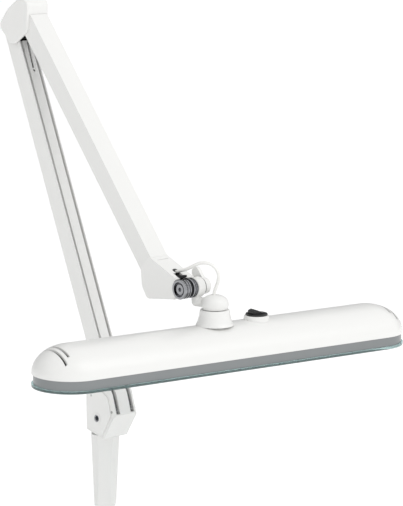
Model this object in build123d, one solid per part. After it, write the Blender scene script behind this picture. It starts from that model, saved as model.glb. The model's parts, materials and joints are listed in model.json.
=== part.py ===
from build123d import *
import os
from math import cos, radians, sin, tan

# Swing arm desk lamp: a post with a mounting pin, a slotted yoke, two channel section arms, a
# friction clutch with a locking lever, a swivelling neck and a long oval lamp head.
# Millimetres, +Z up. The origin is where the mounting pin leaves the foot of the post.
# Both arms swing in the XZ plane. +X is the way the upper arm reaches out.

# ---------------------------------------------------------------- driving dimensions
PIN_R, PIN_LENGTH = 6.0, 40.0
SPIGOT_R, SPIGOT_TOP = 5.0, 30.0      # the pin's thinner end, pressed into the post
BASE_X, BASE_Z = 6.0, 97.0            # base pivot, in the arms' plane
YOKE_HALF = 15.75                     # half width of the yoke
SLOT_IN, SLOT_OUT = 7.2, 12.1         # the two slots beside the centre web
BOLT_R = 4.0
LEAN = 23.4                           # lower arm, degrees back from upright
LOWER_REACH = 427.0                   # along the lower arm, base pivot to elbow
CHANNEL_HALF, WALL = 9.65, 1.2        # lower channel
LOWER_BACK, LOWER_FRONT = 7.0, 27.7   # depth of the lower channel, from the base pivot
ELBOW_X, ELBOW_Z = -134.0, 502.0
DROP = 50.2                           # upper arm, degrees below level
UPPER_HALF, UPPER_WALL = 11.35, 1.4   # upper channel
UPPER_LOW, UPPER_TOP = 3.1, 23.9      # depth of the upper channel, from the elbow
UPPER_START, UPPER_END = 9.0, 322.0   # along the upper arm, from the elbow
CHEEK_IN, CHEEK_OUT = 10.4, 14.2      # cheeks of the elbow cap
ELBOW_R = 4.0
CLUTCH_X, CLUTCH_Z, CLUTCH_R = 128.0, 252.0, 10.0
NECK_Y0, NECK_Y1 = 5.9, 15.9          # the neck's ring on the clutch bolt
DOME_X, DOME_Y, DOME_Z, DOME_R = 145.5, 20.5, 237.6, 14.0
HEAD_TURN = 81.7                      # long axis of the head, degrees from +X
HEAD_L, HEAD_W, HEAD_OFF = 439.0, 78.0, 12.5
LENS_Z, LENS_T, BAND_T, SHELL_H, SHELL_T = 173.8, 2.5, 10.0, 28.9, 2.2
CABLE_R = 1.8
BAND_INSET = 1.8                      # the band stands in this far from the shell
SWITCH_X = 51.5                       # along the head, from the swivel
RUN = 0.05                            # radial clearance of a running fit

BAND_Z = LENS_Z + LENS_T
SHELL_Z = BAND_Z + BAND_T
CREST_Z = SHELL_Z + SHELL_H
BOSS_TOP = DOME_Z - 7.0
NUT_Z = CREST_Z - SHELL_T - 4.5       # underside of the swivel's nut

LOWER = Pos(BASE_X, 0, BASE_Z) * Rot(0, -LEAN, 0)            # local +X front, +Z up the arm
UPPER = Pos(ELBOW_X, 0, ELBOW_Z) * Rot(0, 90 + DROP, 0)      # local -X top, +Z out along the arm
HEAD = Pos(DOME_X, DOME_Y, 0) * Rot(0, 0, HEAD_TURN)         # local +X along the head
CENTRE = HEAD * Pos(HEAD_OFF, 0, 0)                          # middle of the oval

os.makedirs("parts", exist_ok=True)


# ---------------------------------------------------------------- helpers
def save(node, *solids):
    """Write one node: one solid, or a group of like solids."""
    shape = solids[0] if len(solids) == 1 else Compound(children=list(solids))
    export_step(shape, f"parts/{node}.step")


def prism(outline, y0, y1, rounds=()):
    """Extrude an XZ outline from y0 to y1. rounds pairs a corner's index with its radius."""
    face = make_face(Polyline(*outline, close=True))
    for index, radius in rounds:
        x, z = outline[index]
        corner = face.vertices().sort_by_distance((x, z, 0))[0]
        face = fillet(corner, radius)
    return Pos(0, y1, 0) * Rot(90, 0, 0) * extrude(face, amount=y1 - y0)


def rod(start, end, radius):
    """Cylinder between two points."""
    start, end = Vector(start), Vector(end)
    axis = Plane(origin=start, z_dir=end - start)
    return axis * Cylinder(radius, (end - start).length, align=(Align.CENTER, Align.CENTER, Align.MIN))


def across(x, z, radius, y0, y1):
    """Cylinder along Y at a point of the arms' plane."""
    return rod((x, y0, z), (x, y1, z), radius)


def ring(x, z, outer, inner, y0, y1):
    return across(x, z, outer, y0, y1) - across(x, z, inner, y0 - 1, y1 + 1)


def box(x0, x1, y0, y1, z0, z1):
    return Pos((x0 + x1) / 2, (y0 + y1) / 2, (z0 + z1) / 2) * Box(x1 - x0, y1 - y0, z1 - z0)


def both_sides(solid):
    """The solid and its mirror image across the arms' plane."""
    return solid, mirror(solid, Plane.XZ)


def hex_socket(x, z, y_face, depth, flat=4.0):
    """Hexagonal recess to cut from a screw head that faces -Y."""
    tool = extrude(RegularPolygon(flat / 2, 6, major_radius=False), amount=depth + 1)
    return Pos(x, y_face + depth, z) * Rot(90, 0, 0) * tool


# ---------------------------------------------------------------- post and mounting pin
def post():
    """Tapered casting: broad waisted chamfers between narrow flats."""
    def section(z, half_x, half_y, chamfer):
        shape = Rectangle(2 * half_x, 2 * half_y)
        return Pos(0, 0, z) * chamfer_corners(shape, chamfer)

    stations = [(0, 13.1, 13.1, 10.9), (34, 13.35, 13.35, 8.9), (78, 16.65, 15.6, 11.9)]
    body = loft([section(*s) for s in stations])
    return body - Pos(0, 0, -1) * Cylinder(SPIGOT_R, SPIGOT_TOP + 1, align=(Align.CENTER, Align.CENTER, Align.MIN))


def chamfer_corners(shape, size):
    return chamfer(shape.vertices(), size)


def mounting_pin():
    pin = Pos(0, 0, -PIN_LENGTH) * Cylinder(PIN_R, PIN_LENGTH, align=(Align.CENTER, Align.CENTER, Align.MIN))
    pin = chamfer(pin.edges().sort_by(Axis.Z)[0], 1.0)
    return pin + Cylinder(SPIGOT_R, SPIGOT_TOP, align=(Align.CENTER, Align.CENTER, Align.MIN))


# ---------------------------------------------------------------- yoke
def at_base(points):
    return [(BASE_X + x, BASE_Z + z) for x, z in points]


YOKE_OUTLINE = [(-19.5, -14.5), (10.2, -20.5), (27.0, 6.8), (18.8, 32.0), (3.0, 37.0), (-20.5, 26.0)]
YOKE_ROUNDS = ((3, 9.0), (4, 16.0), (5, 9.0))


def yoke():
    """Slotted block: two outer plates, a centre web and a floor that sits on the post."""
    body = prism(at_base(YOKE_OUTLINE), -YOKE_HALF, YOKE_HALF, YOKE_ROUNDS)
    sides = body.faces().filter_by(GeomType.PLANE).filter_by(Axis.Y)
    body = chamfer([e for f in sides for e in f.edges() if e.center().Z > BASE_Z + 8], 1.8)
    pocket = at_base([(-40, -10.5), (11.5, -12.0), (18.5, -3.0), (24.4, 8.0), (40, 8.0), (40, 60), (-40, 60)])
    for slot in both_sides(prism(pocket, SLOT_IN, SLOT_OUT)):
        body -= slot
    body -= across(BASE_X, BASE_Z, BOLT_R + RUN, -20, 20)
    body -= across(*SPRING_PIN, 1.5, -20, 20)
    for hole in both_sides(across(*PANEL_SCREW, 1.2, 13.0, 20)):
        body -= hole
    seat = Pos(0, 0, 60) * Box(34, 30.4, 18.0, align=(Align.CENTER, Align.CENTER, Align.MIN))
    return body - (seat & post())


def yoke_cover(side):
    """Raised panel screwed to the outside of a yoke plate."""
    inset = at_base([(-16.0, -11.5), (8.6, -16.6), (22.2, 6.6), (17.0, 25.5), (3.0, 31.6), (-16.5, 24.0)])
    y0, y1 = (YOKE_HALF, YOKE_HALF + 1.0) if side > 0 else (-YOKE_HALF - 1.0, -YOKE_HALF)
    panel = prism(inset, y0, y1, ((3, 9.0), (4, 14.0), (5, 7.0)))
    if side < 0:
        panel += across(BASE_X, BASE_Z, 5.8, y0 - 0.5, y0)
    panel -= across(BASE_X, BASE_Z, BOLT_R if side < 0 else 7.5, -20, 20)
    return panel - across(*PANEL_SCREW, 1.2, -20, 20)


SPRING_PIN = (BASE_X + 22.6, BASE_Z + 10.6)      # the springs hook on here, in the yoke
PANEL_SCREW = (BASE_X - 9.5, BASE_Z + 23.0)
SPRING_Y, SPRING_R = 9.65, 2.2


def panel_screw():
    """Small screw that holds a side panel to its yoke plate."""
    return across(*PANEL_SCREW, 1.2, 13.0, YOKE_HALF + 1.0)


def base_bolt():
    """Shoulder bolt, the axle of the lower arm: its socket end sits in the near panel's ring."""
    end = -YOKE_HALF - 1.0
    return across(BASE_X, BASE_Z, BOLT_R, end, 19.4) - hex_socket(BASE_X, BASE_Z, end, 3.0, 5.0)


# ---------------------------------------------------------------- lower arm
def channel(x_web, x_lips, half, wall, z0, z1):
    """U section: a web at x_web and two walls that reach x_lips."""
    low, high = min(x_web, x_lips), max(x_web, x_lips)
    inside = (x_web + wall, x_lips + 1) if x_web < x_lips else (x_lips - 1, x_web - wall)
    return box(low, high, -half, half, z0, z1) - box(*inside, wall - half, half - wall, z0 - 1, z1 + 1)


FOOT_PIN = (25.0, 33.5)               # in the lower arm's frame: the springs hook on here too
RIVET_Z = 52.0


def lower_channel():
    section = channel(LOWER_BACK, LOWER_FRONT, CHANNEL_HALF, WALL, 38.0, LOWER_REACH + 2)
    for x in (14.0, 21.5):
        section -= across(x, RIVET_Z, 1.6, -20, 20)
    return LOWER * section


def foot_plate(side):
    """Steel ear riveted outside the channel: it reaches down into the yoke's slot."""
    y0, y1 = (CHANNEL_HALF, CHANNEL_HALF + 1.5) if side > 0 else (-CHANNEL_HALF - 1.5, -CHANNEL_HALF)
    outline = [(-7.0, 22.0), (-9.0, -4.0), (-4.0, -9.0), (4.0, -9.0), (9.0, -4.0), (7.0, 22.0),
               (20.0, 30.0), (28.0, 31.0), (27.7, 62.0), (9.0, 62.0), (9.0, 44.0)]
    ear = prism(outline, y0, y1, ((1, 3.5), (2, 3.5), (3, 3.5), (4, 3.5), (8, 4.0), (9, 4.0)))
    ear -= across(0, 0, BOLT_R + RUN, -20, 20)
    ear -= across(*FOOT_PIN, 1.5, -20, 20)
    for x in (14.0, 21.5):
        ear -= across(x, RIVET_Z, 1.6, -20, 20)
    return LOWER * ear


def foot_rivets():
    rivets = []
    for x in (14.0, 21.5):
        for y in (CHANNEL_HALF - WALL - 0.8, -CHANNEL_HALF - 2.3):
            rivets.append(LOWER * across(x, RIVET_Z, 1.6, y, y + WALL + 3.1))
    return rivets


def lower_strip():
    """Front strip that closes the channel, with a spring slit and a tell-tale hole near the elbow."""
    top = 407.0
    strip = box(21.9, 27.3, -5.7, 5.7, 38.0, top)
    strip -= box(18.0, 25.7, -4.3, 4.3, 37.0, top + 1)
    strip -= Pos(26, 0.5, 391) * Rot(-3, 0, 0) * Box(8, 2.2, 30)
    return LOWER * (strip - rod((18, 0, 373.5), (30, 0, 373.5), 1.4))


def strip_spacer(z):
    block = box(LOWER_BACK + WALL, 21.9, -8.2, 8.2, z - 8, z + 8)
    return LOWER * (block - box(11.0, 18.0, -8.5, 8.5, z - 5, z + 5))


def elbow_knuckle():
    """Block in the top of the lower channel whose eye carries the elbow axle."""
    offset = ELBOW_LOCAL
    block = box(LOWER_BACK + WALL, LOWER_FRONT, -8.2, 8.2, 409.0, LOWER_REACH + 2)
    eye = across(offset[0], offset[1], 9.0, -8.2, 8.2)
    neck = box(LOWER_FRONT - 6, offset[0], -8.2, 8.2, offset[1] - 9.0, offset[1])
    lever = rod((offset[0], 0, offset[1]), (offset[0] + 13.0, 0, offset[1] + 6.0), 3.2)
    hook = across(offset[0] + 13.0, offset[1] + 6.0, 2.6, -6.0, 6.0)
    body = block + eye + neck + lever + hook
    return LOWER * (body - across(*offset, ELBOW_R + RUN, -20, 20))


def to_lower(x, z):
    """Row coordinates of the arms' plane, in the lower arm's own frame."""
    dx, dz, a = x - BASE_X, z - BASE_Z, radians(LEAN)
    return dx * cos(a) + dz * sin(a), -dx * sin(a) + dz * cos(a)


ELBOW_LOCAL = to_lower(ELBOW_X, ELBOW_Z)


def lower_point(x, y, z):
    return (LOWER * Pos(x, y, z)).position


def balance_springs():
    """Two short extension springs beside the centre web, from the yoke's pin to the ears' pin."""
    springs = []
    for side in (-1, 1):
        y, hook_y = side * SPRING_Y, side * (SPRING_Y - 0.75)
        low = Vector(SPRING_PIN[0], y, SPRING_PIN[1])
        high = lower_point(FOOT_PIN[0], y, FOOT_PIN[1])
        along = (high - low).normalized()
        lift = Vector(0, hook_y - y, 0)
        hook = rod(low + along * 22 + lift, high - along * 1.5 + lift, 0.7)
        springs.append(rod(low + along * 1.6, low + along * 27, SPRING_R) + hook)
    return springs


def foot_pin():
    return LOWER * across(*FOOT_PIN, 1.5, -CHANNEL_HALF - 1.9, CHANNEL_HALF + 1.9)


# ---------------------------------------------------------------- upper arm
def upper_channel():
    section = channel(-UPPER_TOP, -UPPER_LOW, UPPER_HALF, UPPER_WALL, UPPER_START, UPPER_END)
    return UPPER * section


def at_elbow(points):
    return [(ELBOW_X + x, ELBOW_Z + z) for x, z in points]


SHIELD = [(10.5, 27.0), (23.4, 21.0), (22.6, -9.0), (-3.5, -26.5), (-27.5, -6.5), (-11.5, 12.5)]
SHIELD_ROUNDS = ((0, 9.0), (1, 7.0), (2, 9.0), (3, 10.0), (4, 8.0), (5, 18.0))


def elbow_cap():
    """Moulded fork: a shield shaped cheek each side of the elbow, joined by a roof over the arm."""
    cap = prism(at_elbow(SHIELD), -CHEEK_OUT, CHEEK_OUT, SHIELD_ROUNDS)
    rims = cap.faces().filter_by(GeomType.PLANE).filter_by(Axis.Y)
    cap = fillet([e for f in rims for e in f.edges()], 1.6)
    cap -= prism(at_elbow([(-40, -40), (40, -40), (40, 8.0), (20.2, 8.0), (20.2, 18.8), (10.5, 23.8),
                           (3.6, 19.2), (1.6, 40), (-40, 40)]), -CHEEK_IN, CHEEK_IN, ((4, 5.0), (5, 5.0)))
    cap -= UPPER * box(-UPPER_TOP, 60, -UPPER_HALF, UPPER_HALF, UPPER_START, 60)
    return cap - across(ELBOW_X, ELBOW_Z, ELBOW_R, -20, 20)


def elbow_axle():
    return across(ELBOW_X, ELBOW_Z, ELBOW_R, -12.6, 12.6)


def elbow_plug(side):
    """Disc that closes the axle's hole in a cheek, flush with the cheek."""
    y0, y1 = (12.6, CHEEK_OUT) if side > 0 else (-CHEEK_OUT, -12.6)
    return across(ELBOW_X, ELBOW_Z, ELBOW_R, y0, y1)


def upper_spring():
    start = lower_point(ELBOW_LOCAL[0] + 13.0, 0, ELBOW_LOCAL[1] + 6.0)
    end = (UPPER * Pos(-14.5, 0, 170.0)).position
    along = (end - start).normalized()
    coil_start = start + along * 20
    hook = rod(start + along * 3.4, coil_start, 1.2)
    return hook + rod(coil_start, end - along * 2.2, 5.0)


def upper_spring_bar():
    return UPPER * across(-14.5, 170.0, 2.0, -UPPER_HALF + UPPER_WALL, UPPER_HALF - UPPER_WALL)


# ---------------------------------------------------------------- tip of the upper arm
TIP = [(81.4, 279.0), (68.6, 264.6), (70.2, 247.0), (78.5, 235.2), (119.5, 240.6), (125.5, 261.0)]
TIP_ROUNDS = ((2, 12.0), (3, 6.0))
CABLE_PORT = Pos(110.0, 0, 267.3) * Rot(0, 22.2, 0)
BRACKET_Y = (-3.6, -0.2)


def tip_cover():
    """Hollow end cap of the upper arm, with a cable hole on top and a cut for the clutch."""
    cover = prism(TIP, -UPPER_HALF - 0.4, UPPER_HALF + 0.4, TIP_ROUNDS)
    edges = cover.faces().filter_by(GeomType.PLANE).filter_by(Axis.Y).edges()
    long_edges = [e for e in edges if e.length > 8 and e.center().Z < 262]
    cover = fillet(long_edges, 0.8)
    inner = [(90.0, 290.0), (66.0, 264.0), (72.6, 247.8), (79.6, 237.4), (117.6, 242.6), (123.0, 259.6),
             (83.0, 276.8)]
    cover -= prism(inner, 1.4 - UPPER_HALF, UPPER_HALF - 1.4)
    cover -= UPPER * box(-UPPER_TOP, -UPPER_LOW, -UPPER_HALF, UPPER_HALF, 250, UPPER_END)
    cover -= across(CLUTCH_X, CLUTCH_Z, CLUTCH_R + 0.6, -20, 20)
    neck_travel = across(CLUTCH_X, CLUTCH_Z, 20.6, NECK_Y0 - 0.7, 20)
    cover -= neck_travel & box(112.5, 150, 0, 20, 225, CLUTCH_Z)
    cover -= box(110, 128, *BRACKET_Y, 240, 262)
    cover -= box(112, 128, -7.0, 1.5, 258, 266)
    cover -= CABLE_PORT * Cylinder(4.0, 30)
    mark = Pos(88.8, 0.5, 276.0) * Rot(0, 22, 0) * Box(1.0, 15.0, 1.2)
    return cover - mark


def cable_grommet():
    """Rubber sleeve in the cover's cable hole, with a lip inside."""
    sleeve = CABLE_PORT * Pos(0, 0, -2.5) * Cylinder(4.0, 4.4)
    lip = CABLE_PORT * Pos(0, 0, -4.6) * Cylinder(5.2, 1.4)
    return sleeve + lip - head_cable_tube(CABLE_R)


def tip_bracket():
    """Dark steel strap from inside the channel to the eye between the clutch cups."""
    eye = across(CLUTCH_X, CLUTCH_Z, 8.4, *BRACKET_Y)
    strap = prism([(80.0, 254.0), (84.0, 250.0), (124.0, 249.0), (124.0, 254.5), (88.0, 256.0), (84.0, 259.0)],
                  *BRACKET_Y)
    riser = prism([(112.0, 252.0), (120.0, 252.0), (120.0, 262.4), (113.5, 259.8)], *BRACKET_Y)
    saddle = prism([(112.0, 259.4), (113.0, 258.2), (118.5, 261.6), (124.5, 262.8), (124.5, 265.0), (116.5, 263.8)],
                   -6.8, 1.3)
    body = eye + strap + riser + saddle
    return body - across(CLUTCH_X, CLUTCH_Z, 3.0, -20, 20)


def clutch_cup(y0, y1, open_side):
    """Chromed cup with two turned grooves. The near one is recessed for the screw head."""
    cup = across(CLUTCH_X, CLUTCH_Z, CLUTCH_R, y0, y1)
    for y in (y0 + 0.36 * (y1 - y0), y0 + 0.72 * (y1 - y0)):
        cup -= ring(CLUTCH_X, CLUTCH_Z, CLUTCH_R + 1, CLUTCH_R - 0.9, y - 0.7, y + 0.7)
    if open_side:
        cup -= across(CLUTCH_X, CLUTCH_Z, 7.6, y0 - 1, y0 + 5.0)
    rim = cup.edges().filter_by(GeomType.CIRCLE).sort_by(SortBy.RADIUS)[-2:]
    return chamfer(rim, 0.5) - across(CLUTCH_X, CLUTCH_Z, 3.0, -20, 20)


def clutch_bolt():
    bolt = across(CLUTCH_X, CLUTCH_Z, 3.0, -7.6, 23.0)
    bolt += across(CLUTCH_X, CLUTCH_Z, 5.2, -11.4, -7.6)
    return bolt - hex_socket(CLUTCH_X, CLUTCH_Z, -11.4, 2.4, 4.0)


def friction_washer(y0, y1):
    return ring(CLUTCH_X, CLUTCH_Z, 9.2, 3.0 + RUN, y0, y1)


# ---------------------------------------------------------------- neck and locking lever
def neck():
    """Casting: a ring on the clutch bolt, a finger and an oblate dome over the swivel."""
    body = across(CLUTCH_X, CLUTCH_Z, 10.2, NECK_Y0, NECK_Y1)
    body = fillet(body.edges().filter_by(GeomType.CIRCLE), 1.6)
    finger_z = DOME_Z - 0.6
    root = (CLUTCH_X + 0.5, (NECK_Y0 + NECK_Y1) / 2, finger_z)
    rib = rod((root[0], root[1], CLUTCH_Z - 5), root, 4.9)
    finger = rod(root, (DOME_X, DOME_Y, finger_z), 4.9) + Pos(*root) * Sphere(4.9)
    profile = [(0, 7.9), (5.0, 7.6), (10.0, 5.6), (13.2, 2.0), (DOME_R, -1.2), (13.6, -4.2), (12.7, -6.3)]
    curve = Spline(*[(r, z) for r, z in profile], tangents=((1, 0), (-0.4, -1)))
    wire = curve + Polyline((12.7, -6.3), (0, -6.3), (0, 7.9))
    dome = Pos(DOME_X, DOME_Y, DOME_Z) * revolve(Plane.XZ * make_face(wire), Axis.Z)
    body = body + rib + finger + dome
    body -= across(CLUTCH_X, CLUTCH_Z, 3.0 + RUN, -20, 60)
    body -= Pos(DOME_X, DOME_Y, DOME_Z - 10) * Cylinder(5.0, 12.0, align=(Align.CENTER, Align.CENTER, Align.MIN))
    return body - rod((DOME_X - 2, DOME_Y, DOME_Z + 1), (DOME_X - 2, DOME_Y, DOME_Z + 12), 2.6)


def swivel_tube():
    """Hollow pivot pressed into the dome: the cable runs down inside it."""
    low = NUT_Z - 2.1
    tube = Pos(DOME_X, DOME_Y, low) * Cylinder(5.0, DOME_Z + 2 - low, align=(Align.CENTER, Align.CENTER, Align.MIN))
    tube += Pos(DOME_X, DOME_Y, low) * Cylinder(9.0, 2.0, align=(Align.CENTER, Align.CENTER, Align.MIN))
    return tube - Pos(DOME_X, DOME_Y, low - 1) * Cylinder(3.2, 60, align=(Align.CENTER, Align.CENTER, Align.MIN))


def locking_lever():
    """Hub on the end of the clutch bolt with one flat ear to turn it by."""
    hub = across(CLUTCH_X, CLUTCH_Z, 8.2, 16.7, 25.0)
    hub = fillet(hub.edges().filter_by(GeomType.CIRCLE).sort_by(Axis.Y)[-1], 2.0)
    a = radians(128)
    tip = (CLUTCH_X + 21 * cos(a), CLUTCH_Z + 21 * sin(a))
    side = (5.2 * sin(a), -5.2 * cos(a))
    root = [(CLUTCH_X + s * side[0], CLUTCH_Z + s * side[1]) for s in (-1.1, 1.1)]
    far = [(tip[0] + s * side[0], tip[1] + s * side[1]) for s in (1.0, -1.0)]
    ear = prism(root + far, 18.4, 22.6, ((2, 4.6), (3, 4.6)))
    body = hub + ear
    return body - across(CLUTCH_X, CLUTCH_Z, 3.0 + RUN, 10, 23.05)


# ---------------------------------------------------------------- lamp head
def oval(length, width, height, z):
    return Pos(0, 0, z) * extrude(SlotOverall(length, width), amount=height)


def quarter_ellipse(half_width, height):
    corner = Pos(half_width, height) * Rectangle(2 * half_width, 2 * height)
    return Ellipse(half_width, height) & corner


def dome_oval(length, width, height, wall=0):
    """Half ellipse section run along the head, with ellipsoid ends: hollow if it has a wall."""
    quarter = quarter_ellipse(width / 2, height)
    if wall:
        quarter -= quarter_ellipse(width / 2 - wall, height - wall)
    run = length - width
    section = quarter + mirror(quarter, Plane.YZ)
    bar = Pos(-run / 2, 0, 0) * (Plane.YZ * extrude(section, amount=run))
    end = Pos(run / 2, 0, 0) * (Rot(0, 0, -90) * revolve(Plane.XZ * quarter, Axis.Z, revolution_arc=180))
    return bar + end + mirror(end, Plane.YZ)


def shade_shell():
    """Moulded cover of the head: domed oval with two cooling slots across each end."""
    shell = dome_oval(HEAD_L, HEAD_W, SHELL_H, SHELL_T)
    for side in (-1, 1):
        for inset, low, high in ((18.0, -26, 22), (23.5, -21, 25)):
            x = side * (HEAD_L / 2 - inset)
            shell -= box(x - 1.2, x + 1.2, low, high, 7, 40)
    shell = CENTRE * Pos(0, 0, SHELL_Z) * shell
    shell -= Pos(DOME_X, DOME_Y, 0) * Cylinder(5.0 + RUN, 600)
    return shell - HEAD * Pos(SWITCH_X, 0, 0) * Cylinder(9.7, 600)


def swivel_boss():
    """Flared seat on top of the shell that the neck turns on."""
    profile = [(5.0 + RUN, CREST_Z - 0.4), (19.4, CREST_Z - 0.4), (17.4, CREST_Z + 3.2), (15.9, CREST_Z + 9.0),
               (15.2, BOSS_TOP - 1.0), (14.2, BOSS_TOP), (5.0 + RUN, BOSS_TOP)]
    face = Plane.XZ * make_face(Polyline(*profile, close=True))
    boss = Pos(DOME_X, DOME_Y, 0) * revolve(face, Axis.Z)
    return boss - CENTRE * Pos(0, 0, SHELL_Z) * dome_oval(HEAD_L, HEAD_W, SHELL_H)


def swivel_nut():
    nut = Pos(DOME_X, DOME_Y, NUT_Z) * Cylinder(12.0, 3.0, align=(Align.CENTER, Align.CENTER, Align.MIN))
    return nut - Pos(DOME_X, DOME_Y, NUT_Z) * Cylinder(5.0 + RUN, 10)


def head_band():
    ring_z = BAND_Z
    inset = 2 * BAND_INSET
    band = oval(HEAD_L - inset, HEAD_W - inset, BAND_T, ring_z)
    band -= oval(HEAD_L - inset - 4, HEAD_W - inset - 4, BAND_T + 2, ring_z - 1)
    return CENTRE * band


def clear_cover():
    plate = oval(HEAD_L, HEAD_W, LENS_T, LENS_Z)
    outer, inner = 2 * BAND_INSET + 4.4, 2 * BAND_INSET + 8
    lip = oval(HEAD_L - outer, HEAD_W - outer, 2.0, BAND_Z) - oval(HEAD_L - inner, HEAD_W - inner, 4.0, BAND_Z - 1)
    return CENTRE * (plate + lip)


def gear_tray():
    """Folded sheet tray that closes the shell and carries the driver above and the board below."""
    z = SHELL_Z - 1.6
    tray = oval(HEAD_L - 2 * BAND_INSET - 4.4, HEAD_W - 2 * BAND_INSET - 4.4, 1.2, z)
    return CENTRE * tray


def led_board():
    return CENTRE * box(-185, 185, -22, 22, SHELL_Z - 3.4, SHELL_Z - 1.8)


def led_chips():
    chips = []
    columns, pitch = 24, 15.2
    for row in (-12.0, 12.0):
        for i in range(columns):
            x = (i - (columns - 1) / 2) * pitch
            chips.append(CENTRE * box(x - 1.75, x + 1.75, row - 1.4, row + 1.4, SHELL_Z - 4.2, SHELL_Z - 3.4))
    return chips


def led_driver():
    return CENTRE * box(-160, -50, -15, 15, SHELL_Z - 0.2, SHELL_Z + 15.0)


def switch_collar():
    """Raised round seat for the switch, blended down onto the shell."""
    low = CREST_Z - 3.0
    profile = [(9.7, low), (14.2, low), (12.6, CREST_Z + 3.4), (12.0, CREST_Z + 4.0), (9.7, CREST_Z + 4.0)]
    face = Plane.XZ * make_face(Polyline(*profile, close=True))
    collar = HEAD * Pos(SWITCH_X, 0, 0) * revolve(face, Axis.Z)
    return collar - CENTRE * Pos(0, 0, SHELL_Z) * dome_oval(HEAD_L, HEAD_W, SHELL_H)


def switch_body():
    top = CREST_Z + 4.0
    body = Pos(0, 0, top) * Cylinder(11.2, 1.6, align=(Align.CENTER, Align.CENTER, Align.MIN))
    body += Pos(0, 0, top - 20) * Cylinder(9.6, 20, align=(Align.CENTER, Align.CENTER, Align.MIN))
    body -= Pos(0, 0, top - 7) * Box(17.0, 11.0, 30, align=(Align.CENTER, Align.CENTER, Align.MIN))
    return HEAD * Pos(SWITCH_X, 0, 0) * body


def switch_rocker():
    """Rocker on a cross pin, pressed down at the end away from the swivel."""
    z = CREST_Z + 4.0
    outline = [(-7.2, -2.0), (-7.2, 4.6), (-3.4, 6.4), (2.4, 3.2), (7.3, 2.0), (7.4, -2.0), (3.0, -5.0), (-3.0, -5.0)]
    rocker = prism(outline, -5.2, 5.2, ((1, 1.0), (2, 4.0), (3, 6.0)))
    return HEAD * Pos(SWITCH_X, 0, z) * rocker


def tray_screws():
    """Pan head screws under the tray, clear of the board."""
    places = [(-195, 0), (195, 0), (-60, 27), (-60, -27), (60, 27), (60, -27)]
    head = Cylinder(3.0, 1.4, align=(Align.CENTER, Align.CENTER, Align.MIN))
    return [CENTRE * Pos(x, y, SHELL_Z - 3.0) * head for x, y in places]


# ---------------------------------------------------------------- cable
CABLE = [(103.5, 0.0, 262.0), (111.0, 0.1, 267.2), (120.0, 0.8, 269.2), (128.6, 2.3, 273.0), (136.4, 4.4, 277.6),
         (142.3, 6.9, 279.4), (148.4, 9.9, 279.0), (153.0, 12.9, 276.0), (155.0, 15.6, 270.7), (154.0, 17.7, 264.8),
         (151.1, 19.2, 259.2), (147.4, 20.1, 253.6), (144.3, 20.5, 247.6), (143.6, 20.4, 241.0)]


def tangent_radius(before, point, after):
    """Radius of the arc that uses 0.45 of the shorter run at a corner of the cable's route."""
    run_in, run_out = point - before, after - point
    turn = radians(run_in.get_angle(run_out))
    return 0.45 * min(run_in.length, run_out.length) / tan(turn / 2)


def cable_path():
    points = [Vector(p) for p in CABLE]
    radii = [tangent_radius(*points[i:i + 3]) for i in range(len(points) - 2)]
    return FilletPolyline(*points, radius=radii), radii


def head_cable_tube(radius):
    path, _ = cable_path()
    return sweep(Plane(origin=path @ 0, z_dir=path % 0) * Circle(radius), path=path)


def head_cable():
    path, radii = cable_path()
    tube = head_cable_tube(CABLE_R)
    ratio = tube.volume / (path.length * 3.14159 * CABLE_R ** 2)
    print("cable arcs, mm:", [round(r, 1) for r in radii])
    print("cable length", round(path.length, 1), "volume ratio", round(ratio, 4))
    return tube


# ---------------------------------------------------------------- write every node
save("mounting_pin", mounting_pin())
save("post", post())
save("yoke", yoke())
save("yoke_cover_near", yoke_cover(-1))
save("yoke_cover_far", yoke_cover(1))
save("base_bolt", base_bolt())
save("base_nut", ring(BASE_X, BASE_Z, 6.6, BOLT_R, YOKE_HALF, 19.4))
save("spring_anchor_pin", across(*SPRING_PIN, 1.5, -YOKE_HALF, YOKE_HALF))
save("lower_channel", lower_channel())
save("foot_plate_near", foot_plate(-1))
save("foot_plate_far", foot_plate(1))
save("foot_rivets", *foot_rivets())
save("lower_strip", lower_strip())
save("strip_spacers", strip_spacer(205), strip_spacer(385))
save("elbow_knuckle", elbow_knuckle())
save("balance_springs", *balance_springs())
save("foot_pin", foot_pin())
save("panel_screws", *both_sides(panel_screw()))
save("upper_channel", upper_channel())
save("elbow_cap", elbow_cap())
save("elbow_axle", elbow_axle())
save("elbow_plugs", elbow_plug(-1), elbow_plug(1))
save("upper_spring", upper_spring())
save("upper_spring_bar", upper_spring_bar())
save("tip_cover", tip_cover())
save("cable_grommet", cable_grommet())
save("tip_bracket", tip_bracket())
save("clutch_cup_near", clutch_cup(-12.6, BRACKET_Y[0], True))
save("clutch_cup_far", clutch_cup(BRACKET_Y[1], 5.1, False))
save("clutch_bolt", clutch_bolt())
save("friction_washers", friction_washer(5.1, NECK_Y0 - RUN), friction_washer(NECK_Y1 + RUN, 16.7 - RUN))
save("neck", neck())
save("swivel_tube", swivel_tube())
save("locking_lever", locking_lever())
save("shade_shell", shade_shell())
save("swivel_boss", swivel_boss())
save("swivel_nut", swivel_nut())
save("head_band", head_band())
save("clear_cover", clear_cover())
save("gear_tray", gear_tray())
save("led_board", led_board())
save("led_chips", *led_chips())
save("led_driver", led_driver())
save("switch_collar", switch_collar())
save("switch_body", switch_body())
save("switch_rocker", switch_rocker())
save("tray_screws", *tray_screws())
save("head_cable", head_cable())
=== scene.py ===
# %% [markdown]
# # A swing arm desk lamp
# The lamp's hard parts arrive already shaped, as a fixed frame that came from a CAD model. Blender
# adds what a CAD solid doesn't have: the wound springs, the soft cable, the finish of every surface,
# the light and the camera. Everything is in metres, in the CAD model's own frame.

# %% Load the frame
import json
import math

import bpy
from mathutils import Matrix, Vector


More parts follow.
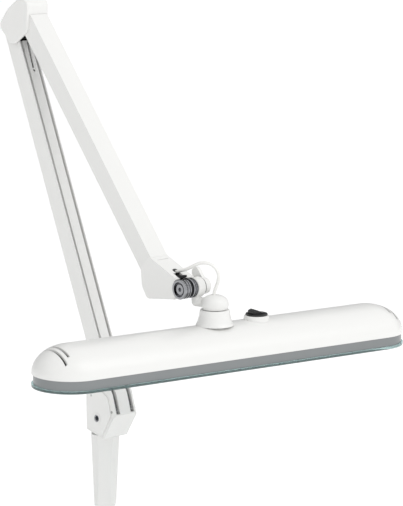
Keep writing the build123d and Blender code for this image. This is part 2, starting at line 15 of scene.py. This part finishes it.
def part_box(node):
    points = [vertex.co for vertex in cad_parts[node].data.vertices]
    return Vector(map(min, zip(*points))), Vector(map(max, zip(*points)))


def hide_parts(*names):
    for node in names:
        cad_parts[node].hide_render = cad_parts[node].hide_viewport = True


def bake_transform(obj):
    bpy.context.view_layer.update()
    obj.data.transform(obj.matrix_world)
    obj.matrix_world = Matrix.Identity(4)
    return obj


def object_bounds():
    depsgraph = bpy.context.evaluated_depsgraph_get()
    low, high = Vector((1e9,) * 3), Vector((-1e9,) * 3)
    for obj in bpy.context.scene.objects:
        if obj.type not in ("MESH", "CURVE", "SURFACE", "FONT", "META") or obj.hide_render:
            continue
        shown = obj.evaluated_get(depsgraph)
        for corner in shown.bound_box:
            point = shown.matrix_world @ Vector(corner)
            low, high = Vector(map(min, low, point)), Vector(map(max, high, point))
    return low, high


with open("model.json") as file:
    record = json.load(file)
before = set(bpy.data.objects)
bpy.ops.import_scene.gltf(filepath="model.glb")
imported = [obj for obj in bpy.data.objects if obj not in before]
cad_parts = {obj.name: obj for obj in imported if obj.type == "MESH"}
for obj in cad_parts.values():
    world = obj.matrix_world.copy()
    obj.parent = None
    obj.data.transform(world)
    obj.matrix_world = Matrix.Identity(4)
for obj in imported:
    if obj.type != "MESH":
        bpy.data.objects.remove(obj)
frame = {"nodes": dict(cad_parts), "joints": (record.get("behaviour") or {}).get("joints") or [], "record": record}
cad_low, cad_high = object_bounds()
MM = 0.001
print("CAD box, mm:", [round(v / MM) for v in cad_high - cad_low])

# %% [markdown]
# ## The camera
# A long lens, a good two metres away, keeps the arms' edges almost parallel. The camera stands to
# the front right of the lamp and looks a little down at it. A matrix whose columns are the camera's
# right, up and back directions says this more exactly than a tracking constraint, which can't hold
# the slight roll.

# %% Place the camera
CAMERA_AT = Vector((1.8742, -1.5852, 0.7183))
TURN, LOOK_DOWN, ROLL = (math.radians(a) for a in (47.45, 10.34, 0.48))
SENSOR_MM, LENS_MM = 36.0, 170.75

level = math.cos(LOOK_DOWN)
back = Vector((math.sin(TURN) * level, -math.cos(TURN) * level, math.sin(LOOK_DOWN)))
right = Vector((math.cos(TURN), math.sin(TURN), 0))
axes = Matrix((right, back.cross(right), back)).transposed()
camera = bpy.data.objects.new("camera", bpy.data.cameras.new("camera"))
camera.data.sensor_width, camera.data.lens = SENSOR_MM, LENS_MM
camera.matrix_world = Matrix.Translation(CAMERA_AT) @ (axes @ Matrix.Rotation(ROLL, 3, "Z")).to_4x4()
bpy.context.collection.objects.link(camera)
bpy.context.scene.camera = camera
print("distance from the camera to the mounting pin, m:", round(CAMERA_AT.length, 2))

# %% [markdown]
# ## Small helpers
# A shader is a handful of nodes wired together. One function adds a node, fills in its sockets and
# makes its links, so that each finish below reads as a list of what it is made of. Colours are
# written as the hex values that a colour picker shows, and one function turns them to the linear
# light that the renderer works in.

# %% Colours and nodes
def linear(hex_colour, alpha=1.0):
    """Turns an sRGB hex value such as 'F2F2EF' into linear light."""
    values = [int(hex_colour[i:i + 2], 16) / 255 for i in (0, 2, 4)]
    return (*[v / 12.92 if v <= 0.04045 else ((v + 0.055) / 1.055) ** 2.4 for v in values], alpha)


def add(tree, kind, values=None, links=None, **settings):
    """Adds one node: settings are its own properties, values fill its sockets, links feed them."""
    node = tree.nodes.new(kind)
    for name, value in settings.items():
        setattr(node, name, value)
    for name, value in (values or {}).items():
        node.inputs[name].default_value = value
    for name, source in (links or {}).items():
        tree.links.new(source, node.inputs[name])
    return node


def per_mm(size_mm):
    """The texture scale whose grain is size_mm across, in a scene measured in metres."""
    return 1 / (size_mm * MM)


# %% [markdown]
# ## Light
# The lamp stands in a bright studio: light from all round, most of it from above and from the
# side that the arm reaches to, so the tops and fronts are almost white and the near sides a soft
# grey. The world carries that as a smooth change of brightness with direction. The side of the room
# away from the light is darker, because polished metal only looks like metal when it has something
# dark to mirror.

# %% The room
world = bpy.data.worlds.new("studio")
world.use_nodes = True
bpy.context.scene.world = world
tree = world.node_tree
tree.nodes.clear()
direction = add(tree, "ShaderNodeTexCoord").outputs["Generated"]
TOWARDS_LIGHT = Vector((0.62, -0.12, 0.77)).normalized()
facing = add(tree, "ShaderNodeVectorMath", {1: TOWARDS_LIGHT}, {0: direction}, operation="DOT_PRODUCT")
ramp = add(tree, "ShaderNodeValToRGB", links={"Fac": facing.outputs["Value"]})
ROOM = ((0.0, "88898B"), (0.15, "9FA0A1"), (0.62, "FDFDFD"), (1.0, "FFFFFF"))
for place, colour in ROOM:
    stop = ramp.color_ramp.elements.new(place) if 0 < place < 1 else ramp.color_ramp.elements[int(place)]
    stop.color = linear(colour)
sky = add(tree, "ShaderNodeBackground", {"Strength": 1.0}, {"Color": ramp.outputs["Color"]})
add(tree, "ShaderNodeOutputWorld", links={"Surface": sky.outputs["Background"]})

SOFTBOX_SIDE, SOFTBOX_WATTS = 1.6, 11
panel = bpy.data.lights.new("softbox", "AREA")
panel.shape, panel.energy = "RECTANGLE", SOFTBOX_WATTS
panel.size = panel.size_y = SOFTBOX_SIDE
softbox = bpy.data.objects.new("softbox", panel)
SOFTBOX_AT, AIM = Vector((1.7, 0.5, 2.1)), Vector((0.0, 0.0, 0.3))
softbox.location = SOFTBOX_AT
softbox.rotation_euler = (AIM - SOFTBOX_AT).to_track_quat("-Z", "Y").to_euler()
bpy.context.collection.objects.link(softbox)
scene = bpy.context.scene
scene.view_settings.view_transform = "Standard"
scene.view_settings.look = "None"

# %% [markdown]
# ## The floor
# A pale paper sweep. It glows a little, as a back lit sweep does, which keeps it free of shadows and
# fills the undersides. The glow is easy to overdo: every upright face looks half at the floor, so a
# brighter floor soon turns a white lamp into a flat white shape.

# %% Lay the floor
FLOOR_HALF, FLOOR_GLOW = 30.0, 0.20
floor_z = cad_low.z - 0.5 * MM
floor_mesh = bpy.data.meshes.new("paper_sweep")
signs = ((-1, -1), (1, -1), (1, 1), (-1, 1))
floor_mesh.from_pydata([(x * FLOOR_HALF, y * FLOOR_HALF, floor_z) for x, y in signs], [], [(0, 1, 2, 3)])
floor = bpy.data.objects.new("paper_sweep", floor_mesh)
bpy.context.collection.objects.link(floor)
paper = bpy.data.materials.new("white_paper_sweep")
paper.use_nodes = True
sheet = paper.node_tree.nodes["Principled BSDF"]
sheet.inputs["Base Color"].default_value = linear("FAFAFA")
sheet.inputs["Roughness"].default_value = 0.9
sheet.inputs["Emission Color"].default_value = linear("FFFFFF")
sheet.inputs["Emission Strength"].default_value = FLOOR_GLOW
floor.data.materials.append(paper)

# %% [markdown]
# ## Finishes
# Every finish is a Principled shader with two more things a real surface has: a fine relief, whose
# size is that of the real texture in millimetres, and a slow drift in gloss, because no surface is
# equally smooth all over. A Bevel node softens the light on sharp edges, as a tenth of a millimetre
# of paint or a moulding radius does.

# %% A finish
def finish(name, colour, roughness, relief_mm, relief_depth_mm, metallic=0.0, edge_mm=0.35, drift=0.06,
           stretch=(1, 1, 1), sockets=None):
    """A solid finish: fine relief of a given size and depth, soft edges and a slow drift in gloss."""
    material = bpy.data.materials.new(name)
    material.use_nodes = True
    tree = material.node_tree
    tree.nodes.clear()
    place = add(tree, "ShaderNodeTexCoord").outputs["Object"]
    stretched = add(tree, "ShaderNodeMapping", {"Scale": stretch}, {"Vector": place}).outputs["Vector"]
    grain = add(tree, "ShaderNodeTexNoise", {"Scale": per_mm(relief_mm), "Detail": 3.0},
                {"Vector": stretched})
    patches = add(tree, "ShaderNodeTexNoise", {"Scale": per_mm(40.0), "Detail": 2.0}, {"Vector": place})
    gloss = add(tree, "ShaderNodeMapRange", {"To Min": roughness - drift, "To Max": roughness + drift},
                {"Value": patches.outputs["Fac"]})
    soft_edge = add(tree, "ShaderNodeBevel", {"Radius": edge_mm * MM}, samples=4)
    bump = add(tree, "ShaderNodeBump", {"Strength": 1.0, "Distance": relief_depth_mm * MM},
               {"Height": grain.outputs["Fac"], "Normal": soft_edge.outputs["Normal"]})
    shader = add(tree, "ShaderNodeBsdfPrincipled", {"Base Color": linear(colour), "Metallic": metallic},
                 {"Roughness": gloss.outputs["Result"], "Normal": bump.outputs["Normal"]})
    for socket, value in (sockets or {}).items():
        shader.inputs[socket].default_value = value
    add(tree, "ShaderNodeOutputMaterial", links={"Surface": shader.outputs["BSDF"]})
    return material


# %% [markdown]
# ### Powder coat, moulded ABS and cable skin
# The arms, yoke and post are steel and zinc castings with a baked powder coat, whose faint orange
# peel is a little under a millimetre across. The covers and the shade are injection moulded ABS,
# smoother and glossier. The cable's PVC skin is softer and duller than either.

# %% White finishes
powder_coat = finish("white_powder_coat_on_steel", "E6E6E4", 0.42, 0.8, 0.010, sockets={"IOR": 1.5})
moulded_abs = finish("white_moulded_abs", "E8E8E6", 0.30, 0.5, 0.004, drift=0.04, sockets={"IOR": 1.54})
cable_skin = finish("white_pvc_cable_skin", "EFEFEC", 0.48, 0.6, 0.006, sockets={"IOR": 1.53})
reflector_sheet = finish("matt_white_reflector_sheet", "F0F0EE", 0.65, 0.4, 0.004)
driver_case = finish("white_driver_case", "E4E4E1", 0.55, 0.6, 0.010)

# %% [markdown]
# ### Metals
# Chrome is nearly a mirror, zinc plate is soft and slightly streaked, and the phosphated bracket is
# a dark grey that hardly shines. The band round the head is an anodised extrusion: its die leaves
# fine lines along its length, drawn here 0.3 mm apart, which is coarser than they are.

# %% Metal finishes
chrome = finish("polished_chrome", "9A9B9E", 0.07, 1.5, 0.0015, metallic=1.0, drift=0.03)
zinc_plate = finish("zinc_plated_steel", "B4B5B4", 0.33, 0.4, 0.004, metallic=1.0)
phosphated = finish("black_phosphated_steel", "232426", 0.45, 0.3, 0.006, metallic=0.6)
anodised = finish("satin_anodised_extrusion", "8A8D8E", 0.34, 0.3, 0.003, metallic=1.0, stretch=(1, 0.02, 1))

# %% [markdown]
# ### Nylon, phosphor and acrylic
# The knuckle, the grommet and the switch are black nylon, matt on the moving parts. The chips are
# capped with yellow phosphor gel. The clear cover is cast acrylic: its faces look clear and its
# edge, where the eye looks through much more of it, a pale blue green.

# %% Other finishes
black_nylon = finish("black_moulded_nylon", "18191A", 0.38, 0.5, 0.008, sockets={"IOR": 1.53})
phosphor = finish("yellow_phosphor_gel", "E8D06A", 0.35, 0.5, 0.004)
acrylic = bpy.data.materials.new("clear_cast_acrylic")
acrylic.use_nodes = True
clear = acrylic.node_tree.nodes["Principled BSDF"]
for socket, value in {"Base Color": linear("CBE9E8"), "Roughness": 0.04, "IOR": 1.49,
                      "Transmission Weight": 0.9}.items():
    clear.inputs[socket].default_value = value

FINISH_OF = {"white_paint": powder_coat, "white_plastic": moulded_abs, "bright_steel": zinc_plate,
             "chrome": chrome, "dark_steel": phosphated, "black_nylon": black_nylon, "grey_band": anodised,
             "clear_cover": acrylic, "white_sheet": reflector_sheet, "led_phosphor": phosphor,
             "driver_case": driver_case, "white_cable": cable_skin}
for part in frame["record"]["subparts"]:
    node = frame["nodes"][part["node"]]
    for material_slot in node.material_slots:
        material_slot.material = FINISH_OF[part["material_slot"]]
print("finishes:", len(FINISH_OF), "on", len(frame["nodes"]), "CAD nodes")

# %% [markdown]
# ## Turning a line into a round wire
# Springs and the cable are both a round section run along a line. A curve object with a bevel makes
# that section, and its mesh can then bend across a joint, which a curve can't.

# %% A round wire
def centreline(curve):
    """The points along a curve, read from the curve itself with no bevel on it."""
    bare = bpy.data.objects.new("centreline", curve)
    mesh = bpy.data.meshes.new_from_object(bare)
    points = [v.co.copy() for v in mesh.vertices]
    bpy.data.objects.remove(bare)
    bpy.data.meshes.remove(mesh)
    return points


def round_wire(name, points, radius, material, resolution=8):
    """A mesh tube of that radius along a smooth NURBS line through the route, and its centreline."""
    curve = bpy.data.curves.new(name, "CURVE")
    curve.dimensions = "3D"
    curve.resolution_u = resolution
    spline = curve.splines.new("NURBS")
    spline.points.add(len(points) - 1)
    for point, place in zip(spline.points, points):
        point.co = (*place, 1.0)
    spline.order_u = 3
    spline.use_endpoint_u = True
    line = centreline(curve)
    curve.bevel_depth = radius
    curve.bevel_resolution = 5
    curve.use_fill_caps = True
    maker = bpy.data.objects.new(name + "_curve", curve)
    mesh = bpy.data.meshes.new_from_object(maker)
    bpy.data.objects.remove(maker)
    mesh.materials.clear()
    mesh.materials.append(material)
    for face in mesh.polygons:
        face.use_smooth = True
    piece = bpy.data.objects.new(name, mesh)
    bpy.context.collection.objects.link(piece)
    return piece, line


# %% [markdown]
# ## Springs
# An extension spring is one wire: a loop round the first pin, a row of turns, and a loop round the
# second pin. Working it out as a single route of points keeps it one wire here too. It hooks on two
# bodies that turn against each other.

# %% Wind a spring
def middle(node):
    """The middle of a CAD node's box."""
    low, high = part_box(node)
    return (Vector(low) + Vector(high)) / 2


def wound_route(start, end, coil_radius, turns, loop_radius, lead, steps=12):
    """Points of an extension spring whose loops go round pins that lie along Y."""
    along = (end - start).normalized()
    side = Vector((0, 1, 0))
    across = along.cross(side)

    def loop(centre, towards):
        angles = [math.radians(a) for a in range(330, 0, -30)]
        return [centre + loop_radius * (math.cos(a) * towards + math.sin(a) * across) for a in angles]

    first, last = start + along * lead, end - along * lead
    coil = []
    for i in range(turns * steps + 1):
        angle = 2 * math.pi * i / steps
        middle_point = first.lerp(last, i / (turns * steps))
        coil.append(middle_point + coil_radius * (math.cos(angle) * across + math.sin(angle) * side))
    return loop(start, along) + coil + list(reversed(loop(end, -along)))


def wind_spring(name, start, end, coil_radius, wire_radius, turns, loop_radius, lead):
    route = wound_route(start, end, coil_radius - wire_radius, turns, loop_radius, lead)
    piece, _ = round_wire(name, route, wire_radius, chrome, resolution=3)
    print(name, "turns:", turns, "pitch, mm:", round(((end - start).length - 2 * lead) / turns / MM, 2))
    return piece


# %% The two balance springs
anchor, foot = middle("spring_anchor_pin"), middle("foot_pin")
SPRING_Y = 9.65 * MM
near_spring = None
for name, y in (("balance_spring_near", -SPRING_Y), ("balance_spring_far", SPRING_Y)):
    low_hook, high_hook = Vector((anchor.x, y, anchor.z)), Vector((foot.x, y, foot.z))
    spring = wind_spring(name, low_hook, high_hook, 2.2 * MM, 0.5 * MM, 15, 2.0 * MM, 3.4 * MM)
    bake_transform(spring)
    near_spring = near_spring or spring
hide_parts("balance_springs")

# %% The spring in the upper arm
elbow = Vector(next(j["pos_m"] for j in frame["joints"] if j["name"] == "elbow_pivot"))
KNUCKLE_HOOK = Vector((9.55, 0, 10.67)) * MM       # from the elbow's axis to the knuckle's hook
upper_hook, bar = elbow + KNUCKLE_HOOK, middle("upper_spring_bar")
upper_spring = wind_spring("upper_arm_spring", upper_hook, bar, 5.0 * MM, 0.8 * MM, 60, 3.4 * MM, 9.0 * MM)
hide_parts("upper_spring")
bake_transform(upper_spring)

# %% [markdown]
# ## The cable
# A thin round cord leaves a rubber sleeve on top of the tip cover, rises in a loose loop over the
# clutch, so that the head can tilt without pulling it, and drops into the hollow swivel. The same
# points as the CAD route are the control points of one smooth spline.

# %% Run the cable
CABLE_R = 1.8 * MM
CABLE_MM = ((103.5, 0.0, 262.0), (111.0, 0.1, 267.2), (120.0, 0.8, 269.2), (128.6, 2.3, 273.0),
            (136.4, 4.4, 277.6), (142.3, 6.9, 279.4), (148.4, 9.9, 279.0), (153.0, 12.9, 276.0),
            (155.0, 15.6, 270.7), (154.0, 17.7, 264.8), (151.1, 19.2, 259.2), (147.4, 20.1, 253.6),
            (144.3, 20.5, 247.6), (143.6, 20.4, 241.0))
route = [Vector(p) * MM for p in CABLE_MM]
cable, cable_line = round_wire("head_flex", route, CABLE_R, cable_skin)
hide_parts("head_cable")
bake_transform(cable)
print("cable line, mm:", round(sum((b - a).length for a, b in zip(cable_line, cable_line[1:])) / MM, 1))
